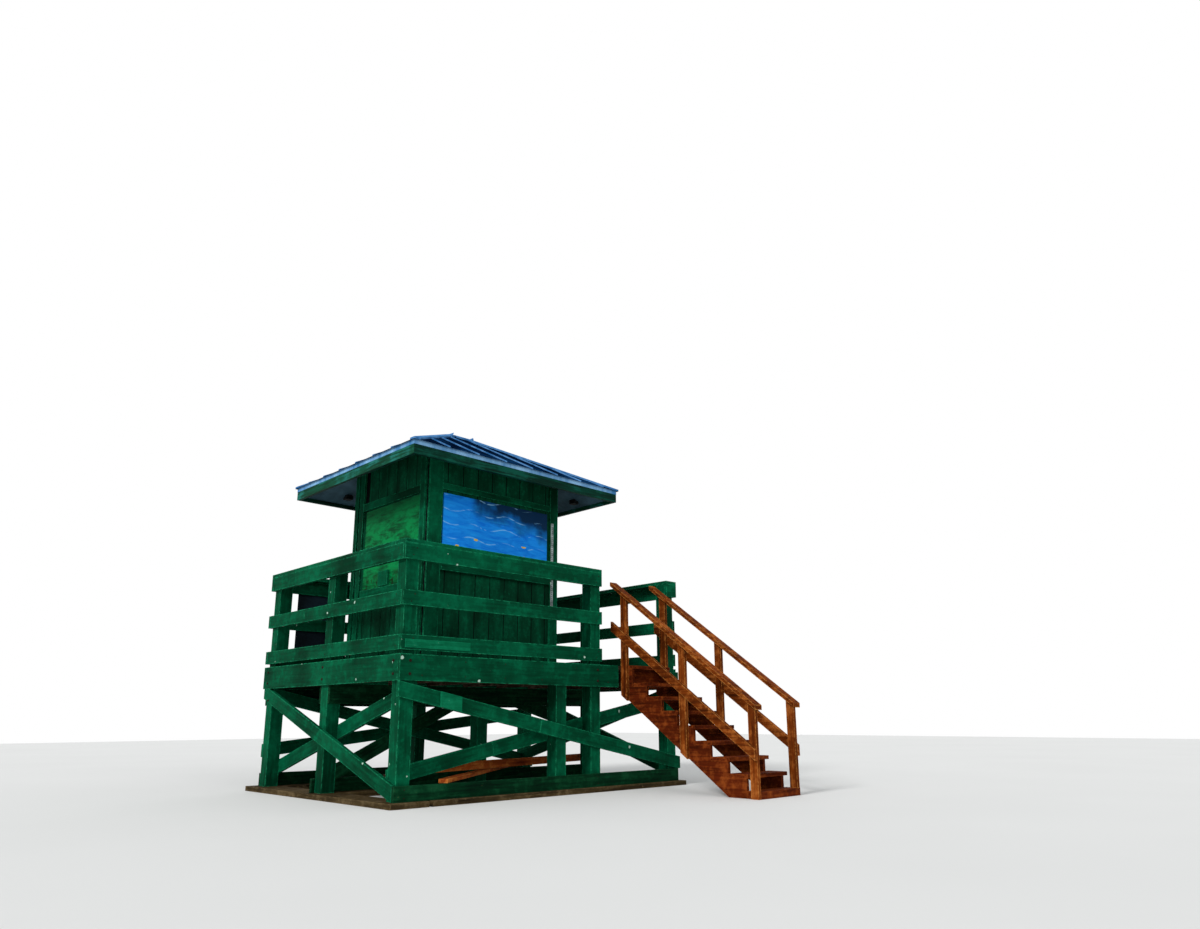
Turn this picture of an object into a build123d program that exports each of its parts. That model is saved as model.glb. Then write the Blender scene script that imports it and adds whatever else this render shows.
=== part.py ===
from build123d import *
import math
import os

os.makedirs("parts", exist_ok=True)

# A lifeguard tower for the beach: a hipped hut on a railed deck, raised on heavy posts,
# with an open stair at the right of its front. Millimetres, +X to the right along the
# front, +Y away from the viewer, +Z up. Places are worked out from the near left corner
# of the deck at ground level, and the finished tower is then centred on its own base.

# Sawn lumber
board = 38.0              # thickness of every framing board
width_four = 89.0         # face of a board four inches wide in the yard's terms
width_six = 140.0
width_eight = 184.0
post = 140.0              # side of a heavy square post
post_clearance = 3.0      # play that deck boards and treads have round a post

# Ground planks and sills
ground_plank = 50.0
plank_width = 280.0
plank_lap = 60.0          # how far a plank shows in front of the sill it carries
left_plank_tail = 100.0   # how far the left plank runs on behind the deck
front_plank_start = 381.0
block_length = 116.0
sill_height = 138.0
sill_joint_reach = 132.0      # how far the joint lies past the left face of the short post

# Deck
deck_width = 3870.0
deck_depth = 2900.0
deck_top = 1347.0
fascia_height = 240.0
fascia_end_gap = 81.0     # from the end of the front edge board to the stair
joist_height = 185.0
joist_count = 8
joist_margin = 220.0      # from an end of the deck to the nearest joist
middle_row = 1412.0       # front face of the middle row of posts
stair_side_post_room = 337.0  # from the post beside the stair to the stair
short_post_room = 366.0       # from the short posts to the post beside the stair

# Railing, with heights above the deck
guard_height = 1072.0
top_board_height = 154.0
mid_rail_underside = 448.0
bottom_rail_underside = 37.0
end_board_length = 178.0
panel_start = 335.0       # plain panel outside the back railing
panel_width = 500.0
panel_height = 900.0
panel_thickness = 12.0

# Braces: heights of a brace's top edge at its two ends, above the ground planks
brace_width = 184.0
side_brace_width = 165.0
front_outer_ends = (1043.0, 268.0)
front_inner_ends = (135.0, 1036.0)
side_outer_ends = (177.0, 1067.0)
side_inner_ends = (1059.0, 315.0)
patch_start = 445.0
patch_length = 236.0
patch_thickness = 25.0

# Hut
hut_start_x = 691.0       # outer faces of the corner trims
hut_start_y = 754.0
hut_width = 1893.0
hut_depth = 1600.0
wall_thickness = 100.0
trim = 25.0
groove_pitch = 203.0
first_groove = 242.0
groove_width = 10.0
groove_depth = 8.0
front_left_trim = 170.0
front_right_trim = 120.0
near_side_trim = 120.0    # from the near corner of the siding to the side shutter
corner_recess = 26.0      # bare siding between that corner and the side trim
far_side_room = 284.0     # from the side shutter to the far corner, with a pair of boards in it
far_outer_trim = 75.0
far_trim_gap = 38.0
far_inner_trim = 92.0
shutter_thickness = 19.0
shutter_left_gap = 20.0   # between the front shutter and the corner trims
shutter_right_gap = 45.0
shutter_lap = 36.0        # how far a shutter covers the wall round its window
front_shutter_base = 1053.0   # heights above the deck
front_shutter_head = 1829.0
side_shutter_base = 857.0
side_shutter_head = 1798.0
front_head_gap = 39.0     # from a shutter up to its head board
side_head_gap = 20.0
front_head_trim = 71.0
side_head_trim = 90.0
ledge_height = 84.0
ledge_reach = 25.0

# Door, on the landing side
door_width = 813.0
door_height = 1990.0
door_thickness = 44.0
door_setback = 10.0
door_play = 3.0
threshold = 20.0
casing_width = 89.0
knob_height = 965.0
knob_radius = 27.0
hinge_height = 100.0

# Roof
eave_overhang = 498.0
eave_rise = 2160.0        # top of the eave boards above the deck
roof_slope = 0.51
roof_build_up = 128.0     # plumb thickness from the underside to the top of the deck boarding
eave_board_height = 151.0
drip_height = 52.0
drip_thickness = 2.0
metal = 3.0
metal_overhang = 20.0
rib_pitch = 371.0
first_rib = 411.0
rib_width = 20.0
rib_height = 14.0
cap_width = 70.0
cap_thickness = 20.0

# Perforated metal strip on the front right corner trim
strip_width = 38.0
strip_length = 1016.0
strip_rise = 710.0
strip_thickness = 3.0
strip_hole = 10.0
strip_pitch = 50.0

# Stair
stair_end_room = 324.0    # from the far stringer to the right end of the deck
stair_width = 638.0
tread_count = 7
tread_rise = 154.1
tread_run = 216.3
tread_depth = 235.0
first_tread_drop = 197.0
first_tread_front = 372.0
tread_overhang = 43.0
stringer_throat = 155.0
foot_board_front = 1815.0
middle_near_post = 940.0  # front faces of the middle posts, measured from the deck
middle_far_post = 906.0
near_handrail_rise = 880.0    # top of the handrail above the deck, in line with its edge
far_handrail_rise = 908.0
handrail_width = 110.0
handrail_slope = 0.728
handrail_back = 130.0
handrail_front = 1845.0
near_mid_rail_rise = 424.0
far_mid_rail_rise = 449.0
stair_mid_rail_slope = 0.718
stair_mid_rail_back = 122.0

# Loose boards that lie on the sills under the deck, by their left edges
loose_boards = ((1150.0, 1500.0), (1420.0, 1700.0))
loose_board_width = 140.0
loose_board_lap = 15.0

# Heights and faces that follow from the driving dimensions
sill_top = ground_plank + sill_height
deck_underside = deck_top - board
fascia_base = deck_top - fascia_height
post_top = deck_top + guard_height - board
left_post = board
right_post = deck_width - board - post
stair_place = deck_width - stair_end_room - stair_width
front_fascia_length = stair_place - fascia_end_gap
stair_side_post_place = stair_place - stair_side_post_room - post
short_post_place = stair_side_post_place - short_post_room - post
sill_joint = short_post_place + sill_joint_reach
front_row = board
back_row = deck_depth - board - post
siding_x0 = hut_start_x + trim
siding_x1 = hut_start_x + hut_width - trim
siding_y0 = hut_start_y + trim
siding_y1 = hut_start_y + hut_depth - trim
eave_x0 = hut_start_x - eave_overhang
eave_x1 = hut_start_x + hut_width + eave_overhang
eave_y0 = hut_start_y - eave_overhang
eave_y1 = hut_start_y + hut_depth + eave_overhang
eave_top = deck_top + eave_rise
ridge_inset = min(eave_x1 - eave_x0, eave_y1 - eave_y0) / 2
stair_end = stair_place + stair_width
stair_slope = tread_rise / tread_run
nosing = tread_depth - tread_run


def block(x0, x1, y0, y1, z0, z1):
    """A squared piece of timber between two opposite corners."""
    corner = (Align.MIN, Align.MIN, Align.MIN)
    return Pos(x0, y0, z0) * Box(x1 - x0, y1 - y0, z1 - z0, align=corner)


def front_outline(points, y0, y1):
    """An outline in X and Z, carried from y0 to y1."""
    return extrude(Plane.XZ.offset(-y0) * Polygon(*points, align=None), y1 - y0, dir=(0, 1, 0))


def side_outline(points, x0, x1):
    """An outline in Y and Z, carried from x0 to x1."""
    return extrude(Plane.YZ.offset(x0) * Polygon(*points, align=None), x1 - x0, dir=(1, 0, 0))


def plan_outline(points, z0, z1):
    """An outline in X and Y, carried from z0 to z1."""
    return extrude(Plane.XY.offset(z0) * Polygon(*points, align=None), z1 - z0, dir=(0, 0, 1))


def plumb_depth(width, slope):
    """The upright measure of a board of this width once it leans at this slope."""
    return width * math.hypot(1, slope)


def square_post(x, y, z0, z1):
    return block(x, x + post, y, y + post, z0, z1)


def leaning_board(start, end, tops, width):
    """The outline of a brace from start to end, with its top edge at the two given heights."""
    drop = plumb_depth(width, (tops[1] - tops[0]) / (end - start))
    first, last = tops[0] + ground_plank, tops[1] + ground_plank
    return [(start, first), (end, last), (end, last - drop), (start, first - drop)]


# Posts, planks and sills


def make_ground_planks():
    """Rough planks bedded in the ground, which carry the rows of posts."""
    left_edge = -plank_lap
    left_inner = left_edge + plank_width
    left = block(left_edge, left_inner, -plank_lap, deck_depth + left_plank_tail, 0, ground_plank)
    front = block(front_plank_start, deck_width + plank_lap / 2, -plank_lap, plank_width - plank_lap,
                  0, ground_plank)
    rows = [middle_row + post / 2 - plank_width / 2, deck_depth + plank_lap - plank_width]
    across = [block(left_inner, deck_width + plank_lap / 2, y, y + plank_width, 0, ground_plank)
              for y in rows]
    spacer = block(left_inner, left_inner + block_length, -plank_lap, board + post, 0, ground_plank)
    return [left, front, *across, spacer]


def make_front_posts():
    """Corner post, short post under the deck, post beside the stair and right corner post."""
    tall = [square_post(x, front_row, ground_plank, post_top)
            for x in (left_post, stair_side_post_place, right_post)]
    return [*tall, square_post(short_post_place, front_row, ground_plank, deck_underside)]


def make_middle_posts():
    tall = [square_post(x, middle_row, ground_plank, post_top) for x in (left_post, right_post)]
    return [*tall, square_post(short_post_place, middle_row, ground_plank, deck_underside)]


def make_back_posts():
    places = (left_post, short_post_place, right_post)
    return [square_post(x, back_row, ground_plank, post_top) for x in places]


def make_sills():
    """Boards along the ground: on the outer faces of the end rows, and between the middle posts."""
    end = deck_width - board
    front = [block(0, sill_joint, 0, board, ground_plank, sill_top),
             block(sill_joint, end, 0, board, ground_plank, sill_top)]
    middle = block(left_post, end, middle_row - board, middle_row, ground_plank, sill_top)
    back = block(0, end, deck_depth - board, deck_depth, ground_plank, sill_top)
    return [*front, middle, back]


# Bracing


def front_style_braces(outer_y, inner_y, outer_ends, inner_ends):
    """A crossed pair along the front or back: one outside the posts, one inside."""
    outer_room = block(0, deck_width, outer_y, outer_y + board, sill_top, fascia_base)
    inner_room = block(left_post, deck_width - board, inner_y, inner_y + board, ground_plank,
                       fascia_base)
    outer = leaning_board(0, deck_width, outer_ends, brace_width)
    inner = leaning_board(left_post, deck_width - board, inner_ends, brace_width)
    return [front_outline(outer, outer_y, outer_y + board) & outer_room,
            front_outline(inner, inner_y, inner_y + board) & inner_room]


def side_braces(outer_x, inner_x, outer_ends, inner_ends):
    """A crossed pair along the left or right side."""
    start, end = board, deck_depth - board
    outer_room = block(outer_x, outer_x + board, start, end, ground_plank, fascia_base)
    inner_room = block(inner_x, inner_x + board, start, end, ground_plank, fascia_base)
    outer = leaning_board(start, end, outer_ends, side_brace_width)
    inner = leaning_board(start, end, inner_ends, side_brace_width)
    return [side_outline(outer, outer_x, outer_x + board) & outer_room,
            side_outline(inner, inner_x, inner_x + board) & inner_room]


def make_front_braces():
    """The front pair, with the short patch nailed over the outer one."""
    pair = front_style_braces(0, front_row + post, front_outer_ends, front_inner_ends)
    slope = (front_outer_ends[1] - front_outer_ends[0]) / deck_width
    top = front_outer_ends[0] + slope * patch_start
    outline = leaning_board(patch_start, patch_start + patch_length,
                            (top, top + slope * patch_length), brace_width)
    return [*pair, front_outline(outline, -patch_thickness, 0)]


def make_back_braces():
    return front_style_braces(deck_depth - board, back_row - board,
                              front_outer_ends[::-1], front_inner_ends[::-1])


def make_left_braces():
    return side_braces(0, left_post + post, side_outer_ends, side_inner_ends)


def make_right_braces():
    return side_braces(deck_width - board, right_post - board,
                       side_outer_ends[::-1], side_inner_ends[::-1])


# Deck


def make_middle_beam():
    """The beam on the middle row of posts, which carries the inner ends of the joists."""
    return [block(left_post, deck_width - board, middle_row - board, middle_row,
                  deck_underside - joist_height, deck_underside)]


def make_deck_joists():
    """Joists from the front to the middle beam, and on from the beam to the back."""
    step = (deck_width - 2 * joist_margin - board) / (joist_count - 1)
    spans = [(board, middle_row - board), (middle_row, deck_depth - board)]
    return [block(joist_margin + step * i, joist_margin + step * i + board, y0, y1,
                  deck_underside - joist_height, deck_underside)
            for i in range(joist_count) for y0, y1 in spans]


def make_deck_boards():
    """Boards along the front, spread evenly, cut round the posts that pass through them."""
    room = deck_depth - 2 * board
    count = int(room // (width_six + post_clearance))
    pitch = (room - width_six) / (count - 1)
    sleeves = [block(x - post_clearance, x + post + post_clearance,
                     y - post_clearance, y + post + post_clearance, deck_underside, deck_top)
               for x, y in standing_posts()]
    boards = []
    for i in range(count):
        y = board + pitch * i
        plank = block(board, deck_width - board, y, y + width_six, deck_underside, deck_top)
        for sleeve in sleeves:
            plank -= sleeve
        boards.append(plank)
    return boards


def standing_posts():
    """Near left corners of the posts that pass up through the deck."""
    front = [(x, front_row) for x in (left_post, stair_side_post_place, right_post)]
    middle = [(x, middle_row) for x in (left_post, right_post)]
    back = [(x, back_row) for x in (left_post, short_post_place, right_post)]
    return front + middle + back


def make_deck_fascias():
    """Edge boards: front and back ones cover the ends of the side ones."""
    back_y = deck_depth - board
    side_x = deck_width - board
    return [block(0, front_fascia_length, 0, board, fascia_base, deck_top),
            block(0, deck_width, back_y, deck_depth, fascia_base, deck_top),
            block(0, board, board, back_y, fascia_base, deck_top),
            block(side_x, deck_width, board, back_y, fascia_base, deck_top)]


def make_landing_header():
    """The lower edge board at the head of the stair, let in between the stringers."""
    return [block(stair_place + board, stair_end - board, 0, board, fascia_base, deck_underside)]


def make_landing_fascia():
    """The lower edge board from the stair to the right corner."""
    return [block(stair_end, deck_width, 0, board, fascia_base, deck_underside)]


def make_landing_edge():
    """The board at the head of the stair, level with the deck."""
    return [block(stair_place, stair_end, board - width_eight, board, deck_underside, deck_top)]


# Railings


def rail_heights():
    """Undersides and tops of the bottom, middle and top boards of a railing."""
    bottom = deck_top + bottom_rail_underside
    middle = deck_top + mid_rail_underside
    return [(bottom, bottom + width_six), (middle, middle + width_six),
            (post_top - top_board_height, post_top)]


def rail_run(x0, x1, y0, y1, cap):
    """Three boards on edge and a flat cap that lies on them and on the post tops."""
    boards = [block(x0, x1, y0, y1, z0, z1) for z0, z1 in rail_heights()]
    return [*boards, block(*cap, post_top, post_top + board)]


def make_front_railing():
    end = stair_side_post_place + post
    return rail_run(0, end, 0, board, (0, end, 0, width_eight))


def make_left_railing():
    end = deck_depth - board
    return rail_run(0, board, board, end, (0, width_eight, width_eight, deck_depth - width_eight))


def make_back_railing():
    start = deck_depth - board
    return rail_run(0, deck_width, start, deck_depth,
                    (0, deck_width, deck_depth - width_eight, deck_depth))


def make_right_railing():
    """The right run, with a short board and cap that close its front end."""
    x0, x1 = deck_width - board, deck_width
    run = rail_run(x0, x1, board, deck_depth - board,
                   (deck_width - width_eight, deck_width, width_eight, deck_depth - width_eight))
    stub_start = deck_width - end_board_length
    stub = block(stub_start, deck_width, 0, board, post_top - top_board_height, post_top)
    stub_cap = block(deck_width - width_eight, deck_width, 0, width_eight, post_top, post_top + board)
    return [*run, stub, stub_cap]


def make_back_panel():
    """A plain panel fixed outside the back railing."""
    top = post_top - top_board_height / 2
    return [block(panel_start, panel_start + panel_width, deck_depth, deck_depth + panel_thickness,
                  top - panel_height, top)]


# Roof


def roof_corner(side_x, side_y, inset, rise):
    """A point of the roof above a corner of the eaves, moved inward along the hip."""
    x = eave_x0 + inset if side_x < 0 else eave_x1 - inset
    y = eave_y0 + inset if side_y < 0 else eave_y1 - inset
    return (x, y, eave_top + rise + roof_slope * inset)


def sloped_sheet(points, thickness):
    """A flat sheet on these points, as thick as given when measured plumb."""
    return extrude(make_face(Polyline(*points, close=True)), thickness, dir=(0, 0, 1))


def roof_slopes(inset, rise, thickness):
    """The four slopes of the hip, as separate sheets that meet along the hips and the ridge."""
    near_left = roof_corner(-1, -1, inset, rise)
    near_right = roof_corner(1, -1, inset, rise)
    far_right = roof_corner(1, 1, inset, rise)
    far_left = roof_corner(-1, 1, inset, rise)
    ridge_left = roof_corner(-1, -1, ridge_inset, rise)
    ridge_right = roof_corner(1, 1, ridge_inset, rise)
    outlines = [(near_left, near_right, ridge_right, ridge_left),
                (far_left, far_right, ridge_right, ridge_left),
                (near_left, far_left, ridge_left),
                (near_right, far_right, ridge_right)]
    return [sloped_sheet(outline, thickness) for outline in outlines]


def under_roof(shape):
    """What is left of a shape below the underside of the roof."""
    for slope in roof_slopes(0, -roof_build_up, eave_rise):
        shape -= slope
    return shape


def make_roof_deck():
    """Rafters and boarding of each slope, as one slab with the painted underside."""
    return roof_slopes(board + drip_thickness, -roof_build_up, roof_build_up)


def make_eave_boards():
    """Boards round the eaves: the front and back ones run the full width."""
    x0, x1 = eave_x0 + drip_thickness, eave_x1 - drip_thickness
    y0, y1 = eave_y0 + drip_thickness, eave_y1 - drip_thickness
    base = eave_top - eave_board_height
    return [block(x0, x1, y0, y0 + board, base, eave_top),
            block(x0, x1, y1 - board, y1, base, eave_top),
            block(x0, x0 + board, y0 + board, y1 - board, base, eave_top),
            block(x1 - board, x1, y0 + board, y1 - board, base, eave_top)]


def make_drip_edge():
    """Folded metal over the top of the eave boards."""
    base = eave_top - drip_height
    return [block(eave_x0, eave_x1, eave_y0, eave_y0 + drip_thickness, base, eave_top),
            block(eave_x0, eave_x1, eave_y1 - drip_thickness, eave_y1, base, eave_top),
            block(eave_x0, eave_x0 + drip_thickness, eave_y0 + drip_thickness,
                  eave_y1 - drip_thickness, base, eave_top),
            block(eave_x1 - drip_thickness, eave_x1, eave_y0 + drip_thickness,
                  eave_y1 - drip_thickness, base, eave_top)]


def make_roof_metal():
    return roof_slopes(-metal_overhang, 0, metal)


def rib_places(length):
    """Distances of the ribs from the start of an eave, where a rib is long enough to show."""
    count = int((length - first_rib) // rib_pitch) + 1
    places = [first_rib + rib_pitch * i for i in range(count)]
    return [place for place in places if length - place > 2 * cap_width]


def rib_outline(start, direction, reach):
    """The side view of one rib, from the eave up to the cap over the hip or ridge."""
    base = eave_top + metal
    foot = start - direction * metal_overhang
    head = start + direction * reach
    low, high = base - roof_slope * metal_overhang, base + roof_slope * reach
    return [(foot, low), (head, high), (head, high + rib_height), (foot, low + rib_height)]


def make_roof_ribs():
    """Raised seams that run straight up each slope."""
    ribs = []
    for length, start, ends, draw in (
            (eave_x1 - eave_x0, eave_x0, (eave_y0, eave_y1), side_outline),
            (eave_y1 - eave_y0, eave_y0, (eave_x0, eave_x1), front_outline)):
        for place in rib_places(length):
            reach = min(place, length - place, ridge_inset) - cap_width - rib_width / 2
            at = start + place
            for edge, direction in ((ends[0], 1), (ends[1], -1)):
                outline = rib_outline(edge, direction, reach)
                ribs.append(draw(outline, at - rib_width / 2, at + rib_width / 2))
    return ribs


def cap_flange(low, high, shift):
    """One side of a hip or ridge cap: a strip on a slope beside the line from low to high."""
    moved = [tuple(a + b for a, b in zip(point, shift)) for point in (high, low)]
    return sloped_sheet((low, high, *moved), cap_thickness)


def make_hip_caps():
    """Folded caps along the four hips and the ridge."""
    flanges = []
    for side_x in (-1, 1):
        for side_y in (-1, 1):
            low = roof_corner(side_x, side_y, -metal_overhang, metal)
            high = roof_corner(side_x, side_y, ridge_inset, metal)
            flanges.append(cap_flange(low, high, (-side_x * cap_width, 0, 0)))
            flanges.append(cap_flange(low, high, (0, -side_y * cap_width, 0)))
    left = roof_corner(-1, -1, ridge_inset, metal)
    right = roof_corner(1, -1, ridge_inset, metal)
    start = (left[0] + cap_width, left[1], left[2])
    end = (right[0] - cap_width, right[1], right[2])
    for side in (-1, 1):
        flanges.append(cap_flange(start, end, (0, side * cap_width, -roof_slope * cap_width)))
    return flanges


# Hut


def grooves(start, end):
    """Places of the upright grooves of the siding between two ends."""
    count = int((end - start - first_groove) // groove_pitch) + 1
    return [start + first_groove + groove_pitch * i for i in range(count)]


def wide_wall(outer_y, inner_y):
    """A front or back wall, grooved on its outer face."""
    wall = under_roof(block(siding_x0, siding_x1, min(outer_y, inner_y), max(outer_y, inner_y),
                            deck_top, eave_top + eave_rise))
    cut = groove_depth if inner_y > outer_y else -groove_depth
    for x in grooves(siding_x0, siding_x1):
        wall -= block(x, x + groove_width, min(outer_y, outer_y + cut),
                      max(outer_y, outer_y + cut), deck_top, eave_top + eave_rise)
    return wall


def side_wall(outer_x, inner_x):
    """A side wall between the front and back walls, grooved on its outer face."""
    y0, y1 = siding_y0 + wall_thickness, siding_y1 - wall_thickness
    wall = under_roof(block(min(outer_x, inner_x), max(outer_x, inner_x), y0, y1,
                            deck_top, eave_top + eave_rise))
    cut = groove_depth if inner_x > outer_x else -groove_depth
    for y in grooves(siding_y0, siding_y1):
        if y0 < y < y1 - groove_width:
            wall -= block(min(outer_x, outer_x + cut), max(outer_x, outer_x + cut),
                          y, y + groove_width, deck_top, eave_top + eave_rise)
    return wall


def front_shutter_span():
    return (siding_x0 + front_left_trim + shutter_left_gap,
            siding_x1 - front_right_trim - shutter_right_gap)


def side_shutter_span():
    return (siding_y0 + near_side_trim, siding_y1 - far_side_room)


def window_heights(base, head):
    return (deck_top + base + shutter_lap, deck_top + head - shutter_lap)


def window_cut(y0, y1):
    """The window behind a front or back shutter, through the wall between y0 and y1."""
    x0, x1 = front_shutter_span()
    z0, z1 = window_heights(front_shutter_base, front_shutter_head)
    return block(x0 + shutter_lap, x1 - shutter_lap, y0, y1, z0, z1)


def make_front_wall():
    inner = siding_y0 + wall_thickness
    return [wide_wall(siding_y0, inner) - window_cut(siding_y0, inner)]


def make_back_wall():
    inner = siding_y1 - wall_thickness
    return [wide_wall(siding_y1, inner) - window_cut(inner, siding_y1)]


def make_left_wall():
    inner = siding_x0 + wall_thickness
    y0, y1 = side_shutter_span()
    z0, z1 = window_heights(side_shutter_base, side_shutter_head)
    window = block(siding_x0, inner, y0 + shutter_lap, y1 - shutter_lap, z0, z1)
    return [side_wall(siding_x0, inner) - window]


def doorway_start():
    return (siding_y0 + siding_y1 - door_width) / 2 - door_play


def doorway_end():
    return (siding_y0 + siding_y1 + door_width) / 2 + door_play


def doorway_head():
    return deck_top + threshold + door_height + door_play


def make_right_wall():
    inner = siding_x1 - wall_thickness
    doorway = block(inner, siding_x1, doorway_start(), doorway_end(), deck_top, doorway_head())
    return [side_wall(siding_x1, inner) - doorway]


def make_corner_trims():
    """Upright boards at the corners of the hut. The far ones at the sides stand in pairs."""
    faces_y = [(siding_y0 - trim, siding_y0), (siding_y1, siding_y1 + trim)]
    faces_x = [(siding_x0 - trim, siding_x0), (siding_x1, siding_x1 + trim)]
    top = eave_top + eave_rise
    boards = []
    for y0, y1 in faces_y:
        boards.append(block(siding_x0, siding_x0 + front_left_trim, y0, y1, deck_top, top))
        boards.append(block(siding_x1 - front_right_trim, siding_x1, y0, y1, deck_top, top))
    inner_end = siding_y1 - far_outer_trim - far_trim_gap
    for x0, x1 in faces_x:
        boards.append(block(x0, x1, siding_y0 + corner_recess, siding_y0 + near_side_trim,
                            deck_top, top))
        boards.append(block(x0, x1, inner_end - far_inner_trim, inner_end, deck_top, top))
        boards.append(block(x0, x1, siding_y1 - far_outer_trim, siding_y1, deck_top, top))
    return [under_roof(upright) for upright in boards]


def make_window_trims():
    """Head boards over the shutters and ledges under them."""
    x0, x1 = siding_x0 + front_left_trim, siding_x1 - front_right_trim
    y0, y1 = side_shutter_span()
    front_base = deck_top + front_shutter_head + front_head_gap
    side_base = deck_top + side_shutter_head + side_head_gap
    front_ledge = (deck_top + front_shutter_base - ledge_height, deck_top + front_shutter_base)
    side_ledge = (deck_top + side_shutter_base - ledge_height, deck_top + side_shutter_base)
    inner_trim = siding_y1 - far_outer_trim - far_trim_gap - far_inner_trim
    return [block(x0, x1, siding_y0 - trim, siding_y0, front_base, front_base + front_head_trim),
            block(x0, x1, siding_y1, siding_y1 + trim, front_base, front_base + front_head_trim),
            block(siding_x0 - trim, siding_x0, y0, inner_trim, side_base, side_base + side_head_trim),
            block(x0, x1, siding_y0 - trim - ledge_reach, siding_y0, *front_ledge),
            block(x0, x1, siding_y1, siding_y1 + trim + ledge_reach, *front_ledge),
            block(siding_x0 - trim - ledge_reach, siding_x0, y0, y1, *side_ledge)]


def make_front_shutter():
    x0, x1 = front_shutter_span()
    return [block(x0, x1, siding_y0 - shutter_thickness, siding_y0,
                  deck_top + front_shutter_base, deck_top + front_shutter_head)]


def make_back_shutter():
    x0, x1 = front_shutter_span()
    return [block(x0, x1, siding_y1, siding_y1 + shutter_thickness,
                  deck_top + front_shutter_base, deck_top + front_shutter_head)]


def make_left_shutter():
    y0, y1 = side_shutter_span()
    return [block(siding_x0 - shutter_thickness, siding_x0, y0, y1,
                  deck_top + side_shutter_base, deck_top + side_shutter_head)]


# Door


def make_door():
    """A plain boarded leaf that stands on the threshold."""
    face = siding_x1 - door_setback
    base = deck_top + threshold
    y0, y1 = doorway_start() + door_play, doorway_end() - door_play
    return [block(face - door_thickness, face, y0, y1, base, base + door_height)]


def make_door_trim():
    """Casing round the doorway and the threshold across it."""
    y0, y1, head = doorway_start(), doorway_end(), doorway_head()
    x0, x1 = siding_x1, siding_x1 + trim
    step = block(siding_x1 - wall_thickness, x1, y0, y1, deck_top, deck_top + threshold)
    casing = [block(x0, x1, y0 - casing_width, y0, deck_top, head),
              block(x0, x1, y1, y1 + casing_width, deck_top, head),
              block(x0, x1, y0 - casing_width, y1 + casing_width, head, head + casing_width)]
    return [step, *[under_roof(upright) for upright in casing]]


def make_door_hardware():
    """Three hinge leaves on the far edge and a round knob on the near one."""
    face = siding_x1 - door_setback
    hinge_y = doorway_end() - door_play
    base = deck_top + threshold
    places = [base + door_height * share for share in (0.1, 0.5, 0.9)]
    hinges = [block(face, face + trim / 3, hinge_y - casing_width / 2, hinge_y,
                    z - hinge_height / 2, z + hinge_height / 2) for z in places]
    knob_y = doorway_start() + door_play + casing_width
    stem = Pos(face, knob_y, deck_top + knob_height) * Rot(0, 90, 0) * Cylinder(
        knob_radius / 3, knob_radius, align=(Align.CENTER, Align.CENTER, Align.MIN))
    ball = Pos(face + 1.5 * knob_radius, knob_y, deck_top + knob_height) * Sphere(knob_radius)
    return [*hinges, stem + ball]


def make_perforated_strip():
    """A punched metal strip on the front right corner trim."""
    middle = siding_x1 - front_right_trim + 2 * trim - strip_width / 2
    face = siding_y0 - trim
    base = deck_top + strip_rise
    strip = block(middle - strip_width / 2, middle + strip_width / 2, face - strip_thickness, face,
                  base, base + strip_length)
    punch = Rot(90, 0, 0) * Cylinder(strip_hole / 2, 3 * strip_thickness)
    for i in range(int(strip_length // strip_pitch)):
        strip -= Pos(middle, face, base + strip_pitch * (i + 0.5)) * punch
    return [strip]


# Stair


def tread_top(i):
    return deck_top - first_tread_drop - tread_rise * i


def tread_front(i):
    return -first_tread_front - tread_run * i


def stringer_underside(y):
    """Height of the stringer's lower edge at a distance in front of the deck."""
    corner_y = tread_front(0) + nosing
    corner_z = tread_top(1) - board
    return corner_z - plumb_depth(stringer_throat, stair_slope) + stair_slope * (y - corner_y)


def stringer_outline():
    """A board cut out in steps, plumb at the head and level where it stands on the ground."""
    back = tread_front(0) + tread_depth
    steps = [(board, deck_underside), (back, deck_underside)]
    for i in range(tread_count):
        steps += [(back - tread_run * i, tread_top(i) - board),
                  (back - tread_run * (i + 1), tread_top(i) - board)]
    foot_front = back - tread_run * tread_count
    foot_back = -stringer_underside(0) / stair_slope
    return [*steps, (foot_front, 0), (foot_back, 0), (board, stringer_underside(board))]


def make_stair_stringers():
    outline = stringer_outline()
    return [side_outline(outline, stair_place, stair_place + board),
            side_outline(outline, stair_end - board, stair_end)]


def make_stair_treads():
    """Treads from the near stringer to a little past the far one, cut round the far post."""
    front = -middle_far_post
    sleeve = block(stair_end, stair_end + board + post_clearance, front - post_clearance,
                   front + width_four + post_clearance, 0, deck_top)
    return [block(stair_place, stair_end + tread_overhang, tread_front(i),
                  tread_front(i) + tread_depth, tread_top(i) - board, tread_top(i)) - sleeve
            for i in range(tread_count)]


def stair_post(x0, x1, front, rise, foot):
    """An upright under a handrail, with its foot at a level or cut in line with the stringer."""
    back = front + width_four
    cap = plumb_depth(board, handrail_slope)
    heads = [deck_top + rise + handrail_slope * y - cap for y in (back, front)]
    feet = [stringer_underside(y) if foot is None else foot for y in (front, back)]
    return side_outline([(front, feet[0]), (back, feet[1]), (back, heads[0]), (front, heads[1])],
                        x0, x1)


def make_stair_posts():
    """Flat posts outside both stringers: at the deck, midway and at the foot of the stair."""
    near = [(-width_four, None), (-middle_near_post, None), (-foot_board_front, 0)]
    far = [(-width_four, None), (-middle_far_post, None),
           (-foot_board_front, tread_top(tread_count))]
    return [*[stair_post(stair_place - board, stair_place, front, near_handrail_rise, foot)
              for front, foot in near],
            *[stair_post(stair_end, stair_end + board, front, far_handrail_rise, foot)
              for front, foot in far]]


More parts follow.
